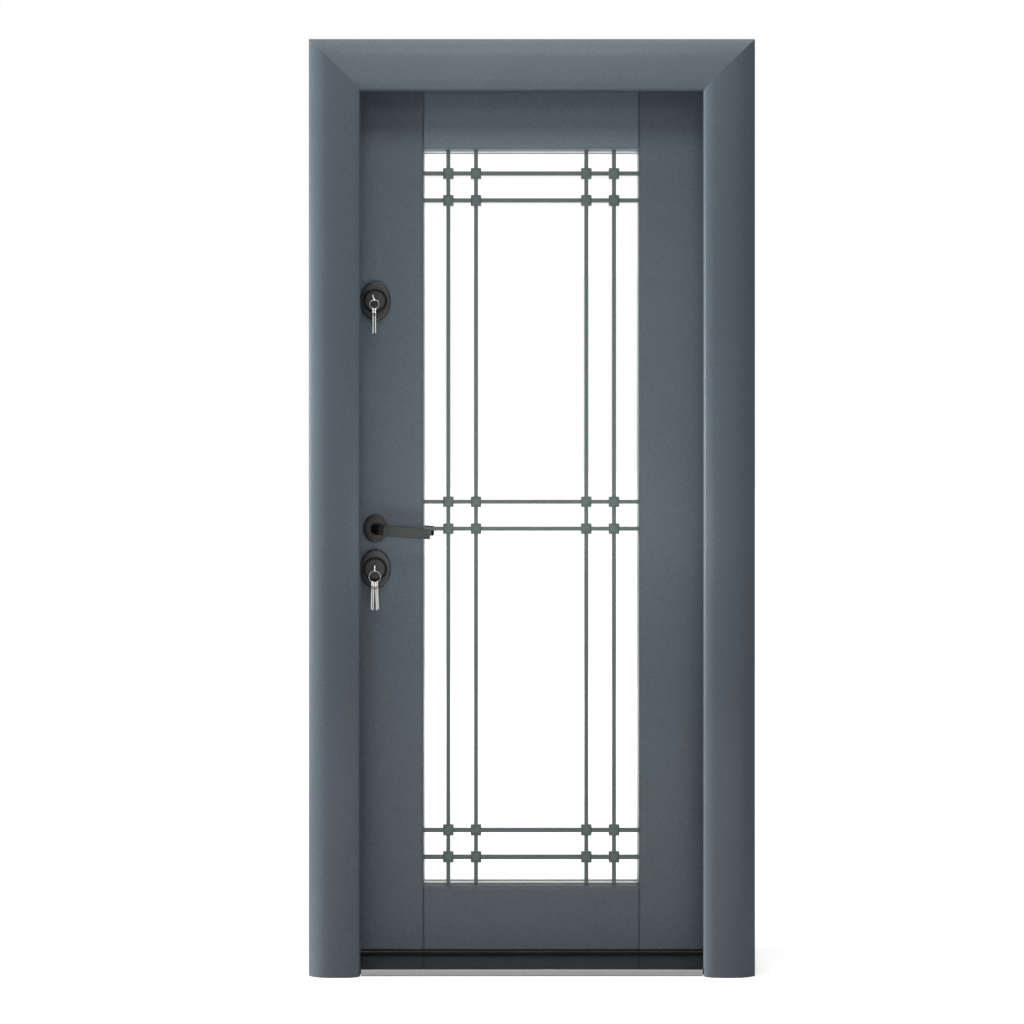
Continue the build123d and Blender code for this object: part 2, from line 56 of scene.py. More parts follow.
def makeCamera():
    data = bpy.data.cameras.new("doorCamera")
    data.lens = cameraSetup["lens"]
    data.sensor_width = cameraSetup["sensor"]
    data.shift_y = cameraSetup["shiftY"]
    camera = bpy.data.objects.new("doorCamera", data)
    camera.location = cameraSetup["place"]
    camera.rotation_euler = (pi / 2, 0, 0)
    scene.collection.objects.link(camera)
    scene.camera = camera


makeCamera()


# Shader nodes that several trees use

def mathNode(tree, operation, first, second, clamp=False):
    node = tree.nodes.new("ShaderNodeMath")
    node.operation = operation
    node.use_clamp = clamp
    for i, value in enumerate((first, second)):
        if isinstance(value, (int, float)):
            node.inputs[i].default_value = value
        else:
            tree.links.new(value, node.inputs[i])
    return node.outputs[0]


def vectorNode(tree, operation, *given):
    node = tree.nodes.new("ShaderNodeVectorMath")
    node.operation = operation
    for value, socket in zip(given, node.inputs):
        tree.links.new(value, socket)
    return node


def objectPlace(tree):
    return tree.nodes.new("ShaderNodeTexCoord").outputs["Object"]


def newMaterial(name, **plain):
    material = bpy.data.materials.new(name)
    material.use_nodes = True
    shader = material.node_tree.nodes["Principled BSDF"]
    for label, value in plain.items():
        shader.inputs[label.replace("_", " ")].default_value = value
    return material, material.node_tree, shader


# Light: a window wall far to the left, a soft box nearer, weak light from above, below and behind

lamps = {
    "windowWall": {"place": (-20.0, -0.7, 1.3), "aim": (0, 0, 1.0), "size": (2.6, 4.0), "watts": 13400},
    "leftSoft": {"place": (-3.0, -2.2, 0.8), "aim": (0, 0.05, 0.9), "size": (2.2, 2.6), "watts": 18},
    "frontTop": {"place": (0.0, -4.6, 2.55), "aim": (0, 0.1, 1.9), "size": (1.8, 0.7), "watts": 11},
    "overHead": {"place": (0.0, -0.35, 3.2), "aim": (0, 0, 1.2), "size": (2.0, 0.6), "watts": 15},
    "headLight": {"place": (0.0, -1.2, 2.9), "aim": (0, 0.05, 2.0), "size": (1.2, 0.5), "watts": 13},
    "headBounce": {"place": (0.0, -0.7, 1.0), "aim": (0, 0, 1.95), "size": (0.8, 0.4), "watts": 3.5},
    "floorBounce": {"place": (0.0, -0.9, 0.05), "aim": (0, 0, 1.0), "size": (2.0, 1.0), "watts": 13},
    "rightFill": {"place": (3.4, -0.3, 0.9), "aim": (0, 0.05, 0.9), "size": (2.0, 2.4), "watts": 6.5},
    "backSoft": {"place": (-0.8, 4.0, 2.6), "aim": (0, 0, 1.1), "size": (2.6, 2.2), "watts": 75},
}
worldLight = {"colour": (0.95, 0.975, 1.0), "strength": 0.02}


def makeLamps():
    for name, facts in lamps.items():
        data = bpy.data.lights.new(name, "AREA")
        data.shape = "RECTANGLE"
        data.size, data.size_y = facts["size"]
        data.energy = facts["watts"]
        lamp = bpy.data.objects.new(name, data)
        lamp.location = facts["place"]
        away = Vector(facts["aim"]) - Vector(facts["place"])
        lamp.rotation_euler = away.to_track_quat("-Z", "Y").to_euler()
        lamp.visible_camera = False
        lamp.visible_transmission = False
        scene.collection.objects.link(lamp)


def seenRays(tree):
    # 1 for rays that show the surroundings: to the camera, in metal and through glass
    path = tree.nodes.new("ShaderNodeLightPath").outputs
    clear = mathNode(tree, "MAXIMUM", path["Is Camera Ray"], path["Is Transmission Ray"])
    return mathNode(tree, "MAXIMUM", clear, path["Is Glossy Ray"])


def makeWorld():
    world = bpy.data.worlds.new("paleRoom")
    scene.world = world
    world.use_nodes = True
    tree = world.node_tree
    tree.nodes.clear()
    mix = tree.nodes.new("ShaderNodeMixShader")
    tree.links.new(seenRays(tree), mix.inputs["Fac"])
    for i, facts in enumerate((worldLight, {"colour": (1, 1, 1), "strength": 1})):
        light = tree.nodes.new("ShaderNodeBackground")
        light.inputs["Color"].default_value = (*facts["colour"], 1)
        light.inputs["Strength"].default_value = facts["strength"]
        tree.links.new(light.outputs[0], mix.inputs[i + 1])
    out = tree.nodes.new("ShaderNodeOutputWorld")
    tree.links.new(mix.outputs[0], out.inputs["Surface"])
    scene.view_settings.view_transform = "Standard"


makeLamps()
makeWorld()

floorFacts = {
    "half": 60.0, "base": 0.78, "rough": 0.9, "shine": 0.1,
    "nearGlow": 0.70, "farGlow": 1.0, "near": 0.7, "far": 3.0,
}


def makeFloor():
    # A pale floor that keeps the door's shadow and runs out to white with distance
    facts = floorFacts
    half, base = facts["half"], facts["base"]
    mesh = bpy.data.meshes.new("floor")
    corners = [(-half, -half, 0), (half, -half, 0), (half, half, 0), (-half, half, 0)]
    mesh.from_pydata(corners, [], [(0, 1, 2, 3)])
    floor = bpy.data.objects.new("floor", mesh)
    scene.collection.objects.link(floor)
    material, tree, plain = newMaterial(
        "paleFloor", Base_Color=(base, base, base, 1), Roughness=facts["rough"],
        Specular_IOR_Level=facts["shine"], Emission_Color=(1, 1, 1, 1))
    reach = vectorNode(tree, "LENGTH", objectPlace(tree))
    glow = tree.nodes.new("ShaderNodeMapRange")
    for label, key in (("From Min", "near"), ("From Max", "far"),
                       ("To Min", "nearGlow"), ("To Max", "farGlow")):
        glow.inputs[label].default_value = facts[key]
    tree.links.new(reach.outputs["Value"], glow.inputs["Value"])
    lift = mathNode(tree, "MULTIPLY", glow.outputs[0], seenRays(tree))
    tree.links.new(lift, plain.inputs["Emission Strength"])
    mesh.materials.append(material)


makeFloor()
print("camera, light and floor set")


# Shader effects shared by several finishes

def newGroup(name, inputs, outputs):
    group = bpy.data.node_groups.new(name, "ShaderNodeTree")
    for label, value in inputs.items():
        kind = "NodeSocketColor" if isinstance(value, tuple) else "NodeSocketFloat"
        socket = group.interface.new_socket(name=label, in_out="INPUT", socket_type=kind)
        socket.default_value = (*value, 1) if isinstance(value, tuple) else value
    for label in outputs:
        kind = "NodeSocketColor" if label == "Colour" else "NodeSocketFloat"
        group.interface.new_socket(name=label, in_out="OUTPUT", socket_type=kind)
    return group, group.nodes.new("NodeGroupInput"), group.nodes.new("NodeGroupOutput")


def mixColour(tree, share, first, second):
    node = tree.nodes.new("ShaderNodeMix")
    node.data_type = "RGBA"
    for socket, value in ((node.inputs[0], share), (node.inputs[6], first), (node.inputs[7], second)):
        if isinstance(value, tuple):
            socket.default_value = (*value, 1)
        elif isinstance(value, (int, float)):
            socket.default_value = value
        else:
            tree.links.new(value, socket)
    return node.outputs[2]


def noiseNode(tree, place, scale, detail=2.0, roughness=0.5):
    node = tree.nodes.new("ShaderNodeTexNoise")
    node.inputs["Detail"].default_value = detail
    node.inputs["Roughness"].default_value = roughness
    tree.links.new(place, node.inputs["Vector"])
    if isinstance(scale, (int, float)):
        node.inputs["Scale"].default_value = scale
    else:
        tree.links.new(scale, node.inputs["Scale"])
    return node.outputs["Fac"]


def swing(tree, value, gain):
    # A noise about its middle, times a gain
    return mathNode(tree, "MULTIPLY", mathNode(tree, "SUBTRACT", value, 0.5), gain)


# Each noise: its scale, detail and roughness
powderFacts = {
    "peel": (420, 2), "grit": (330, 3, 0.75), "slow": (2.6, 3, 0.55), "roughSwing": 0.25, "gritHeight": 0.35,
}


def powderCoatGroup():
    # Baked-on paint: orange-peel skin, mottle of a few millimetres, slow drift of tone over a large face
    inputs = {"Colour": (0.1, 0.1, 0.1), "Speckle": 0.1, "Drift": 0.1, "Gloss roughness": 0.4}
    group, given, result = newGroup("powderCoat", inputs, ("Colour", "Roughness", "Height"))
    place = objectPlace(group)
    peel, grit, slow = (noiseNode(group, place, *powderFacts[key]) for key in ("peel", "grit", "slow"))
    tone = swing(group, slow, given.outputs["Drift"])
    fleck = swing(group, grit, given.outputs["Speckle"])
    level = mathNode(group, "ADD", mathNode(group, "ADD", tone, fleck), 1.0)
    scaledColour = vectorNode(group, "SCALE", given.outputs["Colour"])
    group.links.new(level, scaledColour.inputs["Scale"])
    group.links.new(scaledColour.outputs[0], result.inputs["Colour"])
    rough = swing(group, peel, powderFacts["roughSwing"])
    rough = mathNode(group, "ADD", rough, given.outputs["Gloss roughness"], clamp=True)
    group.links.new(rough, result.inputs["Roughness"])
    height = mathNode(group, "ADD", peel, mathNode(group, "MULTIPLY", grit, powderFacts["gritHeight"]))
    group.links.new(height, result.inputs["Height"])
    return group


wornFacts = {"samples": 4, "gain": 5.0, "patch": (3, 0.6), "least": 0.25}


def edgeGroup():
    # Mask of rounded corners, where paint is thinner and metal is polished by hands
    inputs = {"Width": 0.001, "Breakup": 300.0}
    group, given, result = newGroup("wornEdge", inputs, ("Mask",))
    bevel = group.nodes.new("ShaderNodeBevel")
    bevel.samples = wornFacts["samples"]
    group.links.new(given.outputs["Width"], bevel.inputs["Radius"])
    geometry = group.nodes.new("ShaderNodeNewGeometry")
    dot = vectorNode(group, "DOT_PRODUCT", bevel.outputs[0], geometry.outputs["Normal"])
    edge = mathNode(group, "SUBTRACT", 1.0, dot.outputs["Value"])
    edge = mathNode(group, "MULTIPLY", edge, wornFacts["gain"], clamp=True)
    patch = noiseNode(group, objectPlace(group), given.outputs["Breakup"], *wornFacts["patch"])
    patch = mathNode(group, "ADD", patch, wornFacts["least"], clamp=True)
    group.links.new(mathNode(group, "MULTIPLY", edge, patch), result.inputs["Mask"])
    return group


dustFacts = {"upward": 0.8, "low": 0.5, "cloud": (45, 5, 0.65)}


def dustGroup():
    # Mask of fine dust: upward faces first, and more of it near the ground
    inputs = {"Amount": 0.3, "Reach": 0.5}
    group, given, result = newGroup("fineDust", inputs, ("Mask",))
    place = objectPlace(group)
    split = group.nodes.new("ShaderNodeSeparateXYZ")
    group.links.new(place, split.inputs[0])
    geometry = group.nodes.new("ShaderNodeNewGeometry")
    facing = group.nodes.new("ShaderNodeSeparateXYZ")
    group.links.new(geometry.outputs["Normal"], facing.inputs[0])
    up = mathNode(group, "MULTIPLY", facing.outputs["Z"], dustFacts["upward"], clamp=True)
    low = mathNode(group, "DIVIDE", split.outputs["Z"], given.outputs["Reach"])
    low = mathNode(group, "SUBTRACT", 1.0, low, clamp=True)
    both = mathNode(group, "ADD", up, mathNode(group, "MULTIPLY", low, dustFacts["low"]), clamp=True)
    cloud = mathNode(group, "MULTIPLY", noiseNode(group, place, *dustFacts["cloud"]), given.outputs["Amount"])
    group.links.new(mathNode(group, "MULTIPLY", both, cloud), result.inputs["Mask"])
    return group


brushFacts = {"line": (3, 0.7), "smear": (14, 3, 0.6)}


def brushedGroup():
    # Fine lines left by grinding, stretched along one axis, with a soft drift in gloss
    inputs = {"Across X": 1.0, "Across Y": 1.0, "Across Z": 1.0, "Density": 900.0,
              "Base roughness": 0.3, "Spread": 0.2}
    group, given, result = newGroup("brushedLines", inputs, ("Line", "Roughness"))
    place = objectPlace(group)
    stretch = group.nodes.new("ShaderNodeCombineXYZ")
    for axis in "XYZ":
        group.links.new(given.outputs[f"Across {axis}"], stretch.inputs[axis])
    drawn = vectorNode(group, "MULTIPLY", place, stretch.outputs[0])
    line = noiseNode(group, drawn.outputs[0], given.outputs["Density"], *brushFacts["line"])
    smear = noiseNode(group, place, *brushFacts["smear"])
    group.links.new(line, result.inputs["Line"])
    both = mathNode(group, "SUBTRACT", mathNode(group, "ADD", line, smear), 1.0)
    spread = mathNode(group, "MULTIPLY", both, given.outputs["Spread"])
    rough = mathNode(group, "ADD", spread, given.outputs["Base roughness"], clamp=True)
    group.links.new(rough, result.inputs["Roughness"])
    return group


powderCoat = powderCoatGroup()
wornEdge = edgeGroup()
fineDust = dustGroup()
brushedLines = brushedGroup()


def placeGroup(tree, group, **values):
    node = tree.nodes.new("ShaderNodeGroup")
    node.node_tree = group
    for label, value in values.items():
        socket = node.inputs[label.replace("_", " ")]
        socket.default_value = (*value, 1) if isinstance(value, tuple) else value
    return node


def feed(tree, shader, colour, rough, height, strength, distance):
    tree.links.new(colour, shader.inputs["Base Color"])
    tree.links.new(rough, shader.inputs["Roughness"])
    bump = tree.nodes.new("ShaderNodeBump")
    bump.inputs["Strength"].default_value = strength
    bump.inputs["Distance"].default_value = distance
    tree.links.new(height, bump.inputs["Height"])
    tree.links.new(bump.outputs["Normal"], shader.inputs["Normal"])


def worn(colour, gain, lift=0.0):
    return tuple(min(1.0, c * gain + lift) for c in colour)


def wornColour(tree, base, wornTone, share, width, breakup):
    corner = placeGroup(tree, wornEdge, Width=width, Breakup=breakup)
    return mixColour(tree, mathNode(tree, "MULTIPLY", corner.outputs["Mask"], share), base, wornTone)


paintFacts = {
    "specular": 0.16, "speckle": 1.0, "drift": 0.22, "edge": (0.35, 0.0012, 240.0), "paler": (1.9, 0.01),
    "dustReach": 0.35, "dustTone": (0.33, 0.32, 0.30), "dustRough": 0.5, "relief": 0.0004,
}


def paint(name, colour, gloss, dust, peel=0.10):
    # Anthracite powder coat: dust pales it, corners are slightly lighter
    facts = paintFacts
    material, tree, shader = newMaterial(name, Specular_IOR_Level=facts["specular"])
    coat = placeGroup(tree, powderCoat, Colour=colour, Speckle=facts["speckle"], Drift=facts["drift"],
                      Gloss_roughness=gloss)
    dusty = placeGroup(tree, fineDust, Amount=dust, Reach=facts["dustReach"]).outputs["Mask"]
    tone = wornColour(tree, coat.outputs["Colour"], worn(colour, *facts["paler"]), *facts["edge"])
    tone = mixColour(tree, dusty, tone, facts["dustTone"])
    dull = mathNode(tree, "MULTIPLY", dusty, facts["dustRough"])
    rough = mathNode(tree, "ADD", coat.outputs["Roughness"], dull, clamp=True)
    feed(tree, shader, tone, rough, coat.outputs["Height"], peel, facts["relief"])
    return material


metalFacts = {"edge": (0.3, 0.0006, 500.0), "paler": 1.25, "relief": 0.0002}


def metal(name, colour, roughness, across, density=900.0, spread=0.2, lines=0.25, bump=0.05):
    # Bare or plated metal with grinding lines
    material, tree, shader = newMaterial(name, Metallic=1.0)
    grain = placeGroup(
        tree, brushedLines, Across_X=across[0], Across_Y=across[1], Across_Z=across[2],
        Density=density, Base_roughness=roughness, Spread=spread,
    )
    tone = mixColour(tree, grain.outputs["Line"], worn(colour, 1 - lines), colour)
    tone = wornColour(tree, tone, worn(colour, metalFacts["paler"]), *metalFacts["edge"])
    feed(tree, shader, tone, grain.outputs["Roughness"], grain.outputs["Line"], bump, metalFacts["relief"])
    return material


blackFacts = {"speckle": 0.3, "drift": 0.3, "edge": (0.0008, 350.0), "paler": (2.2, 0.01),
              "peel": 0.06, "relief": 0.0003}


def blackFinish(name, colour, gloss, specular, edge=0.5):
    # Satin black furniture, polished by hands along its edges
    facts = blackFacts
    material, tree, shader = newMaterial(name, Specular_IOR_Level=specular)
    coat = placeGroup(tree, powderCoat, Colour=colour, Speckle=facts["speckle"], Drift=facts["drift"],
                      Gloss_roughness=gloss)
    tone = wornColour(tree, coat.outputs["Colour"], worn(colour, *facts["paler"]), edge, *facts["edge"])
    feed(tree, shader, tone, coat.outputs["Roughness"], coat.outputs["Height"], facts["peel"], facts["relief"])
    return material


glassFacts = {"smear": (9, 4, 0.6), "threshold": 0.55, "gain": 0.05}


def glassFinish():
    # Clear float glass; faint smears only change its gloss
    material, tree, shader = newMaterial(
        "clearGlass", Metallic=0.0, Transmission_Weight=1.0, IOR=1.45, Base_Color=(0.997, 1.0, 0.998, 1))
    smear = noiseNode(tree, objectPlace(tree), *glassFacts["smear"])
    smear = mathNode(tree, "SUBTRACT", smear, glassFacts["threshold"], clamp=True)
    tree.links.new(mathNode(tree, "MULTIPLY", smear, glassFacts["gain"]), shader.inputs["Roughness"])
    return material


rubberFacts = {"specular": 0.3, "pores": (1400, 3, 0.6), "bloom": (60, 3, 0.6), "paler": 1.8,
               "roughSwing": 0.3, "rough": 0.55, "bump": 0.2, "relief": 0.0003}


def rubberFinish(name, colour):
    facts = rubberFacts
    material, tree, shader = newMaterial(name, Specular_IOR_Level=facts["specular"])
    place = objectPlace(tree)
    pores, bloom = (noiseNode(tree, place, *facts[key]) for key in ("pores", "bloom"))
    tone = mixColour(tree, bloom, colour, worn(colour, facts["paler"]))
    rough = mathNode(tree, "ADD", mathNode(tree, "MULTIPLY", bloom, facts["roughSwing"]), facts["rough"])
    feed(tree, shader, tone, rough, pores, facts["bump"], facts["relief"])
    return material


framePaint = paint("framePaint", (0.0680, 0.0862, 0.1025), 0.36, 0.25)
# The head casing gets a paler copy of the frame paint: painted light falling from above
headPaintedLight = paint("headPaintedLight", (0.0920, 0.1165, 0.1370), 0.36, 0.25)
leafPaint = paint("leafPaint", (0.0940, 0.1190, 0.1400), 0.36, 0.25)
# The top rail gets a paler copy of the leaf paint: painted light falling from above
topRailPaintedLight = paint("topRailPaintedLight", (0.1400, 0.1770, 0.2080), 0.36, 0.25)
grillePaint = paint("grillePaint", (0.118, 0.152, 0.148), 0.40, 0.2, peel=0.16)
# The threshold's steel reflects about half as much as the plates: painted shade, standing for the dark leaf it
# mirrors
sillSteelPaintedShade = metal("sillSteelPaintedShade", (0.30, 0.303, 0.296), 0.24, (0.02, 1, 1), spread=0.10, lines=0.30, bump=0.02)
plateSteel = metal("plateSteel", (0.60, 0.60, 0.59), 0.30, (1, 1, 0.02))
zincSteel = metal("zincSteel", (0.50, 0.51, 0.52), 0.36, (1, 1, 0.3), density=260.0, spread=0.3)
boltSteel = metal("boltSteel", (0.58, 0.58, 0.57), 0.22, (0.05, 1, 1))
spacerMetal = metal("spacerMetal", (0.70, 0.72, 0.72), 0.40, (0.3, 1, 0.3), density=400.0)
nickel = metal("nickel", (0.50, 0.50, 0.475), 0.26, (1, 0.4, 0.05), density=1200.0, spread=0.15, lines=0.12)
wireSteel = metal("wireSteel", (0.46, 0.475, 0.465), 0.22, (1, 0.2, 1), density=1200.0, spread=0.15, lines=0.12)
plateBlack = blackFinish("plateBlack", (0.021, 0.0218, 0.0228), 0.30, 0.34)
ringBlack = blackFinish("ringBlack", (0.0065, 0.007, 0.009), 0.30, 0.12, edge=0.25)
roseBlack = blackFinish("roseBlack", (0.014, 0.0145, 0.0155), 0.36, 0.30)
# The lever's neck and bend get a near-black copy of the lever finish: painted shade and painted dark reflection
# on the bend
neckPaintedShade = blackFinish("neckPaintedShade", (0.005, 0.005, 0.0055), 0.34, 0.12)
leverGrey = blackFinish("leverGrey", (0.026, 0.029, 0.0285), 0.30, 0.22)
discGraphite = blackFinish("discGraphite", (0.024, 0.0245, 0.0255), 0.30, 0.32, edge=0.8)
plugGraphite = blackFinish("plugGraphite", (0.020, 0.020, 0.021), 0.28, 0.30, edge=1.0)
clearGlass = glassFinish()
sealRubber = rubberFinish("sealRubber", (0.012, 0.012, 0.013))
corePack = rubberFinish("corePack", (0.05, 0.048, 0.045))
print("finishes mixed")


# Mesh tools

def loft(bm, rings, closed=False):
    loops = [[bm.verts.new(point) for point in ring] for ring in rings]
    pairs = list(zip(loops, loops[1:]))
    if closed:
        pairs.append((loops[-1], loops[0]))
    for first, second in pairs:
        count = len(first)
        for i in range(count):
            j = (i + 1) % count
            bm.faces.new((first[i], first[j], second[j], second[i]))
    if not closed:
        bm.faces.new(loops[0][::-1])
        bm.faces.new(loops[-1])


def addPiece(name, bm, material, body, replaced=(), sharp=32):
    bmesh.ops.recalc_face_normals(bm, faces=bm.faces)
    mesh = bpy.data.meshes.new(name)
    bm.to_mesh(mesh)
    bm.free()
    mesh.materials.clear()
    mesh.materials.append(material)
    mesh.polygons.foreach_set("use_smooth", [True] * len(mesh.polygons))
    mesh.set_sharp_from_angle(angle=radians(sharp))
    piece = bpy.data.objects.new(name, mesh)
    scene.collection.objects.link(piece)
    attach(piece, body)
    if replaced:
        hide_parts(*replaced)
    return piece

def addLofted(name, rings, material, body, replaced=(), sharp=32, closed=False):
    bm = bmesh.new()
    loft(bm, rings, closed)
    return addPiece(name, bm, material, body, replaced, sharp)


easing = {"weld": 0.02, "flatAngle": 1.0, "crease": 35, "segments": 3, "weight": 100,
          "outlineWeld": 0.005}


def edgedCopy(node, material, body, width=0.4, shortest=12, sharp=32):
    # The node's own shape, its edges over the shortest rounded; the wide faces keep flat shading
    bm = bmesh.new()
    bm.from_mesh(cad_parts[node].data)
    bmesh.ops.remove_doubles(bm, verts=bm.verts, dist=easing["weld"] * mm)
    bmesh.ops.dissolve_limit(bm, angle_limit=radians(easing["flatAngle"]), verts=bm.verts, edges=bm.edges)
    edges = [e for e in bm.edges if len(e.link_faces) == 2 and e.calc_length() > shortest * mm
             and e.calc_face_angle(0) > radians(easing["crease"])]
    if edges:
        bmesh.ops.bevel(bm, geom=edges, offset=width * mm, segments=easing["segments"], profile=0.5,
                        affect="EDGES", clamp_overlap=True)
    piece = addPiece(node + "_finished", bm, material, body, [node], sharp)
    weighted = piece.modifiers.new("flatFaces", "WEIGHTED_NORMAL")
    weighted.keep_sharp = True
    weighted.weight = easing["weight"]
    return piece


def roundAngles(count):
    return [2 * pi * i / count for i in range(count)]


def ovalRing(halfWide, halfHigh, count, y, centre):
    return [(centre[0] + halfWide * cos(a), y, centre[1] + halfHigh * sin(a)) for a in roundAngles(count)]


def turned(section, count, centre):
    # Circles about an axis along Y, from a section of (radius, y)
    return [ovalRing(radius, radius, count, y, centre) for radius, y in section]


def domedOval(halfWide, halfHigh, front, rounding, steps, count, centre):
    # Ovals that round over towards a flat front
    rings = []
    for i in range(steps + 1):
        a = pi / 2 * i / steps
        inset = rounding * (1 - cos(a))
        y = front + rounding * (1 - sin(a))
        rings.append(ovalRing(halfWide - inset, halfHigh - inset, count, y, centre))
    return rings


def slotRing(halfWide, halfHigh, count, y, centre, turn=0.0):
    # A rectangle sampled at the angles of a circle, so that it lofts from one
    points, tiny = [], 1e-9
    for a in roundAngles(count):
        reach = min(halfWide / max(abs(cos(a)), tiny), halfHigh / max(abs(sin(a)), tiny))
        x, z = reach * cos(a), reach * sin(a)
        points.append((centre[0] + x * cos(turn) + z * sin(turn), y,
                       centre[1] - x * sin(turn) + z * cos(turn)))
    return points


def roundedSection(halfAcross, halfUp, corner, steps=6):
    points = []
    for signA, signU, start in ((1, 1, 0), (-1, 1, 90), (-1, -1, 180), (1, -1, 270)):
        for i in range(steps + 1):
            a = radians(start + 90 * i / steps)
            points.append((signA * (halfAcross - corner) + corner * cos(a),
                           signU * (halfUp - corner) + corner * sin(a)))
    return points


def mirrorInside(rings, middle):
    return [[(x, 2 * middle - y, z) for x, y, z in ring] for ring in rings]


def scaled(rings):
    return [[(x * mm, y * mm, z * mm) for x, y, z in ring] for ring in rings]


def outlineMesh(name, outlines, thickness, bevel, place):
    # Closed outlines in U and V, inner ones are holes; place turns U, V and thickness into the door's frame
    curve = bpy.data.curves.new(name, "CURVE")
    curve.dimensions = "2D"
    curve.fill_mode = "BOTH"
    curve.extrude = (thickness / 2 - bevel) * mm
    curve.bevel_depth = bevel * mm
    curve.bevel_resolution = 1
    curve.offset = -bevel * mm
    for outline in outlines:
        spline = curve.splines.new("POLY")
        spline.points.add(len(outline) - 1)
        for point, (u, v) in zip(spline.points, outline):
            point.co = (u * mm, v * mm, 0, 1)
        spline.use_cyclic_u = True
    holder = bpy.data.objects.new(name, curve)
    scene.collection.objects.link(holder)
    bpy.context.view_layer.update()
    mesh = bpy.data.meshes.new_from_object(holder)
    bpy.data.objects.remove(holder)
    bpy.data.curves.remove(curve)
    bm = bmesh.new()
    bm.from_mesh(mesh)
    bpy.data.meshes.remove(mesh)
    bmesh.ops.remove_doubles(bm, verts=bm.verts, dist=easing["outlineWeld"] * mm)
    bmesh.ops.transform(bm, matrix=place, verts=bm.verts)
    return bm

def roundPoints(radius, count, centre=(0.0, 0.0)):
    return [(centre[0] + radius * cos(a), centre[1] + radius * sin(a)) for a in roundAngles(count)]


def joinInto(target, source):
    mesh = bpy.data.meshes.new("joined")
    source.to_mesh(mesh)
    source.free()
    target.from_mesh(mesh)
    bpy.data.meshes.remove(mesh)


# Each ring of a head or socket: its share of the radius and its rise above the plate
screwShape = {
    "count": 24, "head": ((1.0, -0.02), (1.0, 0.10), (0.90, 0.20), (0.50, 0.24)),
    "socket": ((0.42, 0.24), (0.40, -0.05)),
}


def screwHead(bm, centre, outward, across, radius):
    # A countersunk head with a six-sided socket; outward and across are unit vectors
    out, side = Vector(outward), Vector(across)
    other = out.cross(side)
    rings = []
    for part in ("head", "socket"):
        for share, rise in screwShape[part]:
            ring = []
            for a in roundAngles(screwShape["count"]):
                reach = share
                if part == "socket":
                    reach *= cos(pi / 6) / cos((a % (pi / 3)) - pi / 6)
                ring.append(Vector(centre) + radius * (reach * (cos(a) * side + sin(a) * other) + rise * out))
            rings.append(ring)
    loft(bm, rings)


# Places shared by the pieces, in millimetres

door = {
    "mitreRise": 1600, "openingX": 250, "openingBottom": 168, "openingTop": 1878,
    "lockX": -360.5, "leverZ": 998, "face": 96.0, "leafMiddle": 128.5,
}


# Casing: the wide rounded trim, mitred at the two top corners

casing = {
    "crest": (440, -24), "tip": (385, -4), "edge": (500, 0), "lip": 425, "sheet": 2, "mitreGap": 0.3,
    # Each arc: its radius, and the slope in degrees at which it ends
    "outward": ((400, 3), (80, 32.7)), "inward": ((520, 3.3), (96, 8), (40, 28), (7.15, 90)),
    "leastSteps": 3, "turnStep": 2.5,
}


def rolledSkin(arcs, side, depth):
    # From the crest, arc after arc, each tangent to the last; depth is how far under the outside
    (x, y), slope, points = casing["crest"], 0.0, []
    for radius, last in arcs:
        centre = (x - side * radius * sin(slope), y + radius * cos(slope))
        steps = max(casing["leastSteps"], round((last - degrees(slope)) / casing["turnStep"]))
        turns = [slope + (radians(last) - slope) * i / steps for i in range(1, steps + 1)]
        reach = radius - depth
        points += [(centre[0] + side * reach * sin(a), centre[1] - reach * cos(a)) for a in turns]
        slope = radians(last)
        x, y = centre[0] + side * radius * sin(slope), centre[1] - radius * cos(slope)
    return points


def casingProfile():
    # From the wall over the shoulder, the crest and the nose, and back along the inside of the sheet
    sheet, (tipX, tipY), (edgeX, edgeY) = casing["sheet"], casing["tip"], casing["edge"]
    crestX, crestY = casing["crest"]

    def skin(depth):
        outward = rolledSkin(casing["outward"], 1, depth)[::-1]
        inward = rolledSkin(casing["inward"], -1, depth)
        return outward + [(crestX, crestY + depth)] + inward

    outside = [(edgeX, edgeY)] + skin(0) + [(tipX, tipY)]
    lip = [(casing["lip"], tipY), (casing["lip"], tipY - sheet)]
    inside = skin(sheet)[::-1]
    inside[-1] = (edgeX - sheet, inside[-1][1])
    points = outside + lip + inside + [(edgeX - sheet, edgeY)]
    return [(min(x, edgeX) * mm, y * mm) for x, y in points]


def makeCasing():
    profile = casingProfile()
    rise, gap = door["mitreRise"] * mm, casing["mitreGap"] * mm
    right = [[(x, y, 0.0) for x, y in profile], [(x, y, x + rise - gap) for x, y in profile]]
    left = [[(-x, y, z) for x, y, z in ring] for ring in right]
    head = [[(x, y, x + rise) for x, y in profile], [(-x, y, x + rise) for x, y in profile]]
    # The head casing takes the paler paint, painted light from above
    for node, rings, finish in (("casing_right", right, framePaint), ("casing_left", left, framePaint),
                                ("casing_head", head, headPaintedLight)):
        addLofted(node + "_rolled", rings, finish, "frame", [node], sharp=20)


makeCasing()
for node in ("jamb_left", "jamb_right", "jamb_head", "rebate_left", "rebate_right", "rebate_head"):
    edgedCopy(node, framePaint, "frame", 0.5)
edgedCopy("frame_seal", sealRubber, "frame", 0.8)
# Threshold in the darkened steel: painted shade in its reflection
edgedCopy("threshold", sillSteelPaintedShade, "frame", 0.2)
edgedCopy("sill_core", corePack, "frame", 0.5)
edgedCopy("strike_plate", plateSteel, "frame", 0.3)
edgedCopy("frame_hinges", zincSteel, "frame", shortest=6)
print("frame done")


# Leaf: stiles, rails, glass and bead

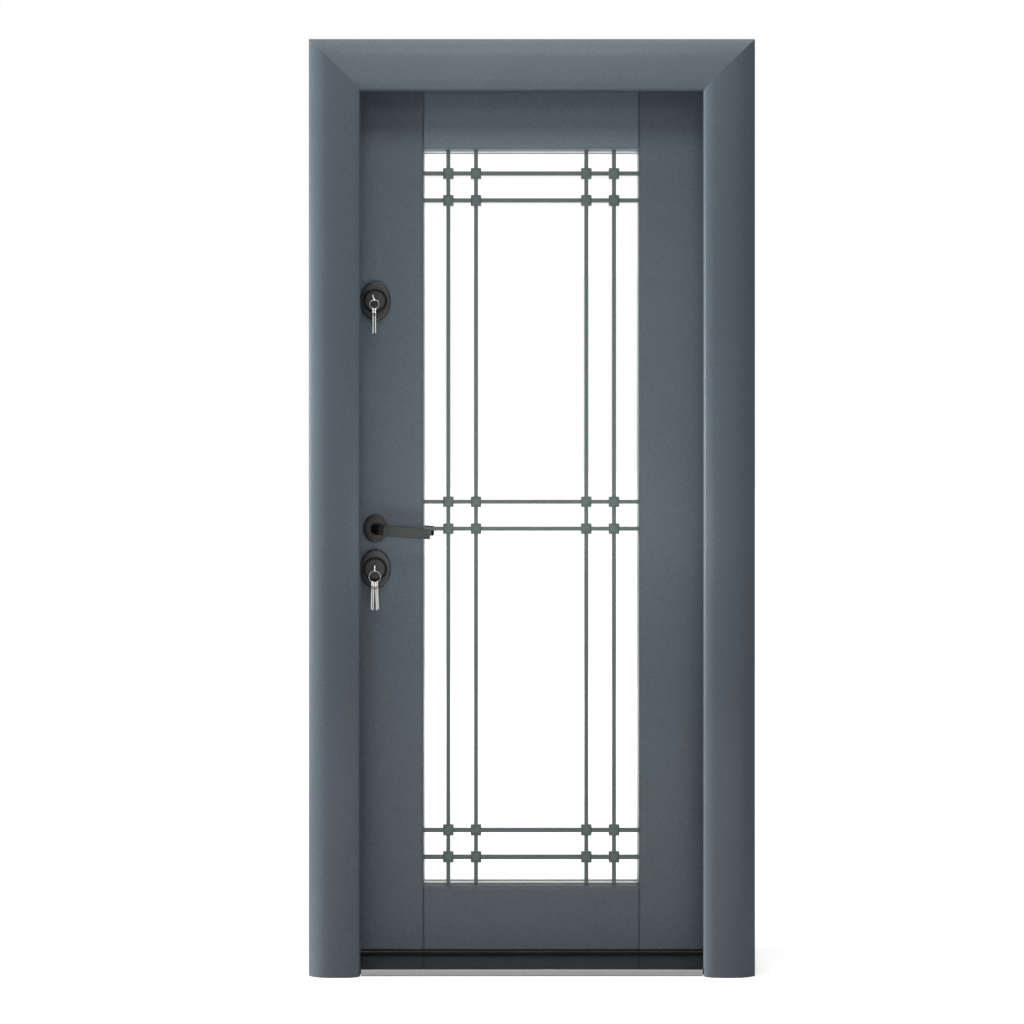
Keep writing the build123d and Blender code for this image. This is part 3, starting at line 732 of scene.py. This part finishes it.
# The top rail takes the paler paint, painted light from above
for node in ("stile_left", "stile_right", "top_rail", "bottom_rail"):
    edgedCopy(node, topRailPaintedLight if node == "top_rail" else leafPaint, "leaf", 0.7)
edgedCopy("glazing_bead", leafPaint, "leaf", 1.0)
for node in ("glass_outer", "glass_inner"):
    edgedCopy(node, clearGlass, "leaf", sharp=1)
edgedCopy("glass_spacer", spacerMetal, "leaf")
edgedCopy("lock_faceplate", plateSteel, "leaf", 0.3)
edgedCopy("lock_bolts", boltSteel, "leaf", 1.0, shortest=0)
edgedCopy("leaf_hinges", zincSteel, "leaf", shortest=6)
edgedCopy("spindle", zincSteel, "lever", 0.3)

# Drop seal under the leaf: a holder and a tapering lip that just clears the threshold, as (y, z)
sweep = {
    "halfLength": 428,
    "outline": ((102, 24.5), (110, 24.5), (110, 21), (108.6, 20.4), (107, 19.6), (106.6, 16.8), (106.2, 15.9),
                (105.6, 15.9), (105, 16.8), (104.4, 19.6), (103.2, 20.4), (102, 21)),
}


def makeSweep():
    half = sweep["halfLength"]
    rings = scaled([[(x, y, z) for y, z in sweep["outline"]] for x in (-half, half)])
    addLofted("leaf_sweep", rings, sealRubber, "leaf", sharp=20)


makeSweep()
print("leaf done")


# Grille: square bars with a block and a domed boss at each crossing

grille = {
    "bar": 9, "barY": 116, "barRound": 0.9, "barSteps": 3, "uprights": (-193, -128.5, 128.5, 193),
    "crossbars": {"top": (1761.3, 1824), "middle": (996.65, 1059.35), "bottom": (232, 294.7)},
    "block": 24, "blockFront": 110.5, "blockRear": 121.5, "ease": 0.5, "overlap": 2,
    # The block's front edge: its inset and its depth behind the front
    "blockEdge": ((0.0, 1.5), (0.6, 0.525), (1.5, 0.0)),
    # The boss: its share of the radius and of the rise over the block
    "bossRadius": 11.3, "bossRise": 3.5, "bossCount": 36,
    "boss": ((1.0, -0.2), (1.0, 0.16), (0.985, 0.30), (0.94, 0.46), (0.86, 0.62), (0.74, 0.77),
             (0.58, 0.88), (0.38, 0.96), (0.16, 1.0)),
}


def addBar(bm, start, end, across):
    # A bar whose corners are rolled; its ends and the unit step across it are (x, z)
    half = grille["bar"] / 2
    section = roundedSection(half, half, grille["barRound"], grille["barSteps"])
    loft(bm, scaled([[(x + u * across[0], grille["barY"] + v, z + u * across[1]) for u, v in section]
                     for x, z in (start, end)]))


def addBlock(bm, x, z):
    front, rear, ease = grille["blockFront"], grille["blockRear"], grille["ease"]
    half = grille["block"] / 2
    sizes = [(half - ease, rear), (half, rear - ease)]
    sizes += [(half - inset, front + depth) for inset, depth in grille["blockEdge"]]
    rings = []
    for size, y in sizes:
        corners = ((size, size), (-size, size), (-size, -size), (size, -size))
        rings.append([(x + u, y, z + v) for u, v in corners])
    loft(bm, scaled(rings))
    dome = [(grille["bossRadius"] * share, front - grille["bossRise"] * lift) for share, lift in grille["boss"]]
    loft(bm, scaled(turned(dome, grille["bossCount"], (x, z))))


def makeGrille():
    bottom, top, side = door["openingBottom"], door["openingTop"], door["openingX"]
    crossings = [z for pair in grille["crossbars"].values() for z in pair]
    for name, places in (("left", grille["uprights"][:2]), ("right", grille["uprights"][2:])):
        bm = bmesh.new()
        for x in places:
            addBar(bm, (x, bottom), (x, top), (1, 0))
            for z in crossings:
                addBlock(bm, x, z)
        node = f"grille_uprights_{name}"
        addPiece(node + "_forged", bm, grillePaint, "leaf", [node], sharp=40)
    clear = grille["block"] / 2 - grille["overlap"]
    starts = [-side] + [x + clear for x in grille["uprights"]]
    ends = [x - clear for x in grille["uprights"]] + [side]
    for name, pair in grille["crossbars"].items():
        bm = bmesh.new()
        for z in pair:
            for x0, x1 in zip(starts, ends):
                addBar(bm, (x0, z), (x1, z), (0, 1))
        node = f"grille_crossbars_{name}"
        addPiece(node + "_forged", bm, grillePaint, "leaf", [node], sharp=40)


makeGrille()
print("grille done")


# Lock plates, discs, cylinders, keys; sections are (radius, y)

locks = {
    "upper": {"z": 1524.0, "shift": -2.0, "rise": 4.8, "tilt": -24.0, "ringCentre": (-360.548, 1513.487),
              "ring": 10.4, "spares": (-2.5, 2.5), "length": 62.0, "lean": 0.5},
    "lower": {"z": 904.5, "shift": 1.0, "rise": 3.5, "tilt": 0.0, "ringCentre": (-359.5, 888.6),
              "ring": 13.3, "spares": (-5.9, -2.1, 2.1, 5.9), "length": 69.0, "lean": 2.0},
}
lockPlate = {
    "halfWide": 35.5, "halfHigh": 45.5, "ease": (0.4, 0.5), "rear": 96, "front": 87, "rounding": 4,
    "steps": 8, "count": 96, "seat": ((28.2, 87), (27.4, 87.6), (23.8, 87.6), (23.8, 95.4)),
    "ring": ((27.6, 88), (27.6, 85.2), (27.18, 84.42), (26.4, 84), (24, 84), (23.22, 84.42),
             (22.8, 85.2), (22.8, 88)),
    "disc": ((22.6, 95), (22.6, 86), (22.1, 85.5), (19.4, 85.5), (19.1, 85.85), (18.5, 85.85), (18.2, 85.5)),
    "hole": ((7.62, 85.5), (7.12, 85.9), (7.12, 94)),
}
plug = {"section": ((7.0, 113.9), (7.0, 85.0), (6.5, 84.5)), "count": 48,
        "keyway": (1.65, 4.2), "ends": (84.5, 109.7)}
barrel = {
    "radius": 8.5, "start": -53.97, "turn": 287.94, "steps": 28, "lug": (5.0, -20.0),
    "body": ((1.0, 100.0), (1.0, 165.5), (0.95, 166.0)), "face": ((6.9, 160.0), (6.9, 166.0), (6.5, 166.4)),
    "keyway": (1.5, 4.2), "ends": (166.4, 163.0),
}
keyShape = {
    "thickness": 3.0, "bevel": 0.35, "front": 59.5, "bowLength": 20.0, "bowHeight": 18.0, "bowRounding": 6.0,
    "bladeWidth": 8.0, "bladeEnd": 109.5, "point": (4.0, 2.0),
    "cutSpan": (88.0, 106.0), "cutDepth": 1.9, "cuts": (0.7, 0.4, 1.0, 0.5, 0.8),
    "hole": 2.9, "holeCount": 32, "holeDrop": 4.8, "holeY": 64.5,
}
splitRing = {
    "wire": 1.1, "across": 0.62, "along": 0.48, "sides": 10, "steps": 132, "turns": 1.92,
    "start": 60, "rampStart": 0.42, "rampLength": 0.16,
}
spareShape = {
    "thickness": 3.2, "bevel": 0.3, "bow": 8.5, "bowThickness": 3.6, "bowBevel": 0.45, "bowCount": 40,
    "hole": 3.2, "holeCount": 28, "rim": 1.6, "clear": 0.5, "blade": 7.0, "neck": 1.0, "point": (4.0, 2.0),
    "collar": (8.6, 11.6), "collarOver": 0.7, "collarBevel": 0.2,
    "cutStart": 14.0, "cutEnd": 7.0, "cutDepth": 2.0,
    "cuts": ((0.5, 0.9, 0.3, 0.7, 0.6), (0.8, 0.4, 0.9, 0.5, 0.3)),
}


def keyAxis(lock):
    return door["lockX"] + lock["shift"], lock["z"] + lock["rise"]


def plateRings(centre):
    facts = lockPlate
    wide, high, count = facts["halfWide"], facts["halfHigh"], facts["count"]
    inset, depth = facts["ease"]
    rings = [ovalRing(wide - inset, high - inset, count, facts["rear"], centre),
             ovalRing(wide, high, count, facts["rear"] - depth, centre)]
    rings += domedOval(wide, high, facts["front"], facts["rounding"], facts["steps"], count, centre)
    return rings + turned(facts["seat"], count, centre)


def makeLocks():
    count = lockPlate["count"]
    for name, lock in locks.items():
        centre, axis = (door["lockX"], lock["z"]), keyAxis(lock)
        addLofted(f"{name}_lock_plate", scaled(plateRings(centre)), plateBlack, "leaf",
                  [f"{name}_escutcheon"], sharp=35)
        addLofted(f"{name}_lock_ring", scaled(turned(lockPlate["ring"], count, centre)), ringBlack,
                  "leaf", sharp=50, closed=True)
        bm = bmesh.new()
        loft(bm, scaled(turned(lockPlate["disc"], count, centre) + turned(lockPlate["hole"], count, axis)))
        addBarrel(bm, axis)
        addPiece(f"{name}_lock_disc", bm, discGraphite, "leaf", [f"{name}_cylinder"], sharp=35)
        makePlug(name, lock, axis)
        makeKey(name, lock, axis)
        makeKeyRing(name, lock)
        makeSpares(name, lock)


def keywayRings(facts, count, axis, turn=0.0):
    return [slotRing(*facts["keyway"], count, y, axis, turn) for y in facts["ends"]]


def addBarrel(bm, axis):
    # The cylinder's body through the stile, a round barrel on a flat lug
    lugX, lugZ = barrel["lug"]
    steps = barrel["steps"]
    angles = [radians(barrel["start"] + barrel["turn"] * i / steps) for i in range(steps + 1)]
    outline = [(lugX, lugZ)] + [(barrel["radius"] * cos(a), barrel["radius"] * sin(a)) for a in angles]
    outline.append((-lugX, lugZ))
    loft(bm, scaled([[(axis[0] + u * share, y, axis[1] + v * share) for u, v in outline]
                     for share, y in barrel["body"]]))
    loft(bm, scaled(turned(barrel["face"], plug["count"], axis) + keywayRings(barrel, plug["count"], axis)))


def makePlug(name, lock, axis):
    rings = turned(plug["section"], plug["count"], axis)
    rings += keywayRings(plug, plug["count"], axis, radians(lock["tilt"]))
    addLofted(f"{name}_plug_turned", scaled(rings), plugGraphite, f"{name}_key",
              [f"{name}_plug"], sharp=30)


def sidePlace(x, y, z, turn):
    # U runs along Y, V along Z and the thickness along X, turned about Y
    axes = Matrix(((0, 0, 1, 0), (1, 0, 0, 0), (0, 1, 0, 0), (0, 0, 0, 1)))
    return Matrix.Translation((x * mm, y * mm, z * mm)) @ Matrix.Rotation(turn, 4, "Y") @ axes


def toothedEdge(start, end, base, depth, cuts):
    # Cuts of a key's blade from start to end, each a short slope, a flat and a slope
    points = []
    pitch = (end - start) / len(cuts)
    for i, cut in enumerate(cuts):
        for share, part in ((0.1, 0), (0.38, 1), (0.62, 1), (0.9, 0)):
            points.append((start + pitch * (i + share), base - part * cut * depth))
    return points


def makeKey(name, lock, axis):
    facts = keyShape
    half, end, (pointLow, pointHigh) = facts["bladeWidth"] / 2, facts["bladeEnd"], facts["point"]
    halfLong = facts["bowLength"] / 2
    bow = roundedSection(halfLong, facts["bowHeight"] / 2, facts["bowRounding"])
    bow = [(facts["front"] + halfLong + u, v) for u, v in bow]
    back, corner = facts["front"] + facts["bowLength"], len(bow) // 4
    blade = [(back, -half), (end - pointLow, -half), (end, 0), (end - pointHigh, half)]
    blade += toothedEdge(*facts["cutSpan"], half, facts["cutDepth"], facts["cuts"])[::-1]
    outline = bow[-corner:] + blade + [(back, half)] + bow[:-corner]
    hole = roundPoints(facts["hole"], facts["holeCount"], (facts["holeY"], -facts["holeDrop"]))
    place = sidePlace(axis[0], 0, axis[1], radians(lock["tilt"]))
    bm = outlineMesh(f"{name}KeyOutline", [outline, hole], facts["thickness"], facts["bevel"], place)
    addPiece(f"{name}_key_cut", bm, nickel, f"{name}_key", [f"{name}_key"], sharp=30)


def makeKeyRing(name, lock):
    # A split ring: flattened wire that goes round nearly twice
    facts = splitRing
    (x, z), wire = lock["ringCentre"], facts["wire"]
    rings = []
    for i in range(facts["steps"] + 1):
        share = i / facts["steps"]
        a = radians(facts["start"]) + 2 * pi * facts["turns"] * share
        ramp = min(1.0, max(0.0, (share - facts["rampStart"]) / facts["rampLength"]))
        y = keyShape["holeY"] + wire * (ramp - 0.5)
        ring = []
        for b in roundAngles(facts["sides"]):
            reach = lock["ring"] + facts["across"] * wire * cos(b)
            ring.append((x + reach * cos(a), y + facts["along"] * wire * sin(b), z + reach * sin(a)))
        rings.append(ring)
    addLofted(f"{name}_key_ring_split", scaled(rings), wireSteel, f"{name}_key",
              [f"{name}_key_ring"], sharp=40)


def hangRoom(slope):
    # From the wire's middle up to the middle of the hole that hangs on it
    facts = spareShape
    return (facts["hole"] - facts["clear"] - slope * facts["bowThickness"] / 2
            - splitRing["wire"] * sqrt(1 + slope ** 2))


def makeSpares(name, lock):
    facts = spareShape
    x, z = lock["ringCentre"]
    half, pointLow, pointHigh = facts["blade"] / 2, *facts["point"]
    bowZ = facts["hole"] + facts["rim"] - facts["bow"]
    tipZ = facts["hole"] + facts["rim"] - lock["length"]
    near, far = (bowZ - drop for drop in facts["collar"])
    collar = [(-half, near), (half, near), (half, far), (-half, far)]
    bow = roundPoints(facts["bow"], facts["bowCount"], (0, bowZ))
    hole = roundPoints(facts["hole"], facts["holeCount"])
    whole = bmesh.new()
    for number, across in enumerate(lock["spares"]):
        wireZ = -sqrt(lock["ring"] ** 2 - across ** 2)
        slope = abs(across / wireZ) + tan(radians(lock["lean"]))
        outward = -radians(lock["lean"]) * (1 if across > 0 else -1)
        place = sidePlace(x + across, keyShape["holeY"], z + wireZ - hangRoom(slope), outward)
        blade = [(-half, bowZ), (half, bowZ)]
        blade += [(v, u) for u, v in toothedEdge(bowZ - facts["cutStart"], tipZ + facts["cutEnd"], half,
                                                 facts["cutDepth"], facts["cuts"][number % 2])]
        blade += [(half, tipZ + pointLow), (half / 3, tipZ), (-half, tipZ + pointHigh)]
        # The blade starts below the hole, so its outline keeps clear of it
        blade = [(u, min(v, -facts["hole"] - facts["neck"])) for u, v in blade]
        for outlines, thickness, bevel in (
                ([blade], facts["thickness"], facts["bevel"]),
                ([bow, hole], facts["bowThickness"], facts["bowBevel"]),
                ([collar], facts["thickness"] + facts["collarOver"], facts["collarBevel"])):
            joinInto(whole, outlineMesh("sparePart", outlines, thickness, bevel, place))
    addPiece(f"{name}_spare_keys_cut", whole, nickel, f"{name}_spares",
             [f"{name}_spare_keys"], sharp=30)


makeLocks()
print("locks done")


# Lever handle and rose, outside and mirrored inside; lengths run along the bar from the rose's axis

handle = {
    "roseWide": 28.5, "roseHigh": 33.0, "roseCount": 96, "roseRear": (96.0, 95.6, 0.3),
    "roseBase": 91.0, "brim": 1.0, "brimSteps": 3, "step": 4.0,
    "roseFront": 88.0, "rounding": 2.0, "domeSteps": 6,
    "seat": ((12.4, 88.0), (11.8, 88.5), (9.9, 88.5), (9.35, 89.0), (9.35, 95.5)),
    "neck": 8.9865, "neckStarts": (95.5, 90.0), "standOff": 49.5, "bend": 19.0, "bendSteps": 12, "joint": 20.5,
    # Before the bend: how far from it, and how square the neck is there
    "squaring": ((9.0, 0.0), (5.0, 0.16), (2.0, 0.28)), "squareStart": 0.45, "squareBy": 7, "bendCorner": 3.5,
    "barHigh": 24.0, "barDeep": 12.0, "barDrop": 1.2, "corner": 1.2, "taper": 0.1, "droop": 4.2,
    "length": 130.0,
    # The bar's root, its length and its tip, each as a place and an inset
    "root": ((20.5, 2.8), (23.6, 0.0), (25.8, 0.0), (26.2, 0.9), (27.4, 0.9), (34.0, 0.0)),
    "spans": (45.0, 70.0, 95.0, 115.0), "tip": ((-1.6, 0.0), (-0.8, 0.25), (-0.25, 0.8), (0.0, 1.6)),
}


def roseRings():
    facts = handle
    centre = (door["lockX"], door["leverZ"])
    wide, high, step, count = facts["roseWide"], facts["roseHigh"], facts["step"], facts["roseCount"]
    rear, front, inset = facts["roseRear"]
    rings = [ovalRing(wide - inset, high - inset, count, rear, centre),
             ovalRing(wide, high, count, front, centre)]
    rings += domedOval(wide, high, facts["roseBase"], facts["brim"], facts["brimSteps"], count, centre)
    rings.append(ovalRing(wide - step, high - step, count, facts["roseBase"], centre))
    rings += domedOval(wide - step, high - step, facts["roseFront"], facts["rounding"], facts["domeSteps"],
                       count, centre)
    return rings + turned(facts["seat"], count, centre)


def leverSection(x, y, turn, halfAcross, halfUp, corner):
    section = roundedSection(halfAcross, halfUp, min(corner, halfAcross, halfUp))
    return [(x + u * cos(turn), y + u * sin(turn), v) for u, v in section]


def neckRings():
    # Round at the rose, square by the end of the bend
    facts = handle
    barY = door["face"] - facts["standOff"]
    bendY = barY + facts["bend"]
    neck, halfDeep, halfHigh = facts["neck"], facts["barDeep"] / 2, facts["barHigh"] / 2
    stations = [(0.0, y, 0.0, 0.0) for y in facts["neckStarts"]]
    stations += [(0.0, bendY + before, 0.0, share) for before, share in facts["squaring"]]
    for i in range(facts["bendSteps"] + 1):
        a = pi / 2 * i / facts["bendSteps"]
        share = min(1.0, facts["squareStart"] + (1 - facts["squareStart"]) * i / facts["squareBy"])
        stations.append((facts["bend"] * (1 - cos(a)), bendY - facts["bend"] * sin(a), a, share))
    stations.append((facts["joint"], barY, pi / 2, 1.0))
    rings = []
    for x, y, turn, share in stations:
        across, up = neck + (halfDeep - neck) * share, neck + (halfHigh - neck) * share
        rings.append(leverSection(x, y, turn, across, up, neck + (facts["bendCorner"] - neck) * share))
    return rings


def barRings():
    # A flat bar with crisp edges; its root is bevelled, grooved and eased into the bar
    facts = handle
    halfDeep, halfHigh = facts["barDeep"] / 2, facts["barHigh"] / 2
    stations = [*facts["root"]] + [(x, 0.0) for x in facts["spans"]]
    stations += [(facts["length"] + x, inset) for x, inset in facts["tip"]]
    rings = []
    for x, inset in stations:
        inset += (x - facts["bend"]) * tan(radians(facts["taper"]))
        ring = leverSection(x, door["face"] - facts["standOff"], pi / 2, halfDeep - inset, halfHigh - inset,
                            facts["corner"])
        rings.append([(u, y, v - facts["barDrop"]) for u, y, v in ring])
    return rings


def droopedRings(rings):
    x0, z0, droop = door["lockX"], door["leverZ"], radians(handle["droop"])
    return [[(x0 + x * cos(droop) + z * sin(droop), y, z0 - x * sin(droop) + z * cos(droop))
             for x, y, z in ring] for ring in rings]


def makeHandles():
    for side in ("outer", "inner"):
        rose, neck, bar = roseRings(), droopedRings(neckRings()), droopedRings(barRings())
        if side == "inner":
            rose, neck, bar = (mirrorInside(rings, door["leafMiddle"]) for rings in (rose, neck, bar))
        addLofted(f"{side}_rose_turned", scaled(rose), roseBlack, "leaf", [f"{side}_rose"])
        # Neck and bend in the near-black copy of the lever finish: painted shade on the bend
        addLofted(f"{side}_lever_neck", scaled(neck), neckPaintedShade, "lever", sharp=40)
        addLofted(f"{side}_lever_bar", scaled(bar), leverGrey, "lever", [f"{side}_lever"])


makeHandles()
print("handles done")


# Screws of the hinges, the face plate and the strike plate

screws = {
    "hingeHeights": (257.0, 1027.0, 1797.0), "hingeRadius": 3.6,
    # Each hinge screw: its step along the leaf and its shift across it
    "hingePlaces": ((8.0, -4.0), (20.0, 4.0), (32.0, -4.0)), "onFrame": (459, 167), "onLeaf": (411, 164),
    "plateHeights": (850.0, 960.0, 1214.0, 1440.0, 1590.0), "plateRadius": 3.2,
    "faceplateX": -430, "strikeX": -439, "strikeRise": 6,
}


def makeScrews():
    facts = screws
    onFrame, onLeaf, onEdge, onStrike = bmesh.new(), bmesh.new(), bmesh.new(), bmesh.new()
    (frameX, frameY), (leafX, leafY) = facts["onFrame"], facts["onLeaf"]

    def place(bm, x, y, z, outward, across, radius):
        screwHead(bm, (x * mm, y * mm, z * mm), outward, across, radius * mm)

    for z in facts["hingeHeights"]:
        for step, shift in facts["hingePlaces"]:
            place(onFrame, frameX + shift, frameY, z - step, (0, 1, 0), (1, 0, 0), facts["hingeRadius"])
            place(onLeaf, leafX - shift, leafY, z + step, (0, 1, 0), (1, 0, 0), facts["hingeRadius"])
    for z in facts["plateHeights"]:
        place(onEdge, facts["faceplateX"], door["leafMiddle"], z, (-1, 0, 0), (0, 1, 0), facts["plateRadius"])
        place(onStrike, facts["strikeX"], door["leafMiddle"], z + facts["strikeRise"], (1, 0, 0), (0, 1, 0),
              facts["plateRadius"])
    for name, bm, body in (("frame_hinge_screws", onFrame, "frame"), ("leaf_hinge_screws", onLeaf, "leaf"),
                           ("faceplate_screws", onEdge, "leaf"), ("strike_screws", onStrike, "frame")):
        addPiece(name, bm, zincSteel, body, sharp=25)


makeScrews()
print("screws done")
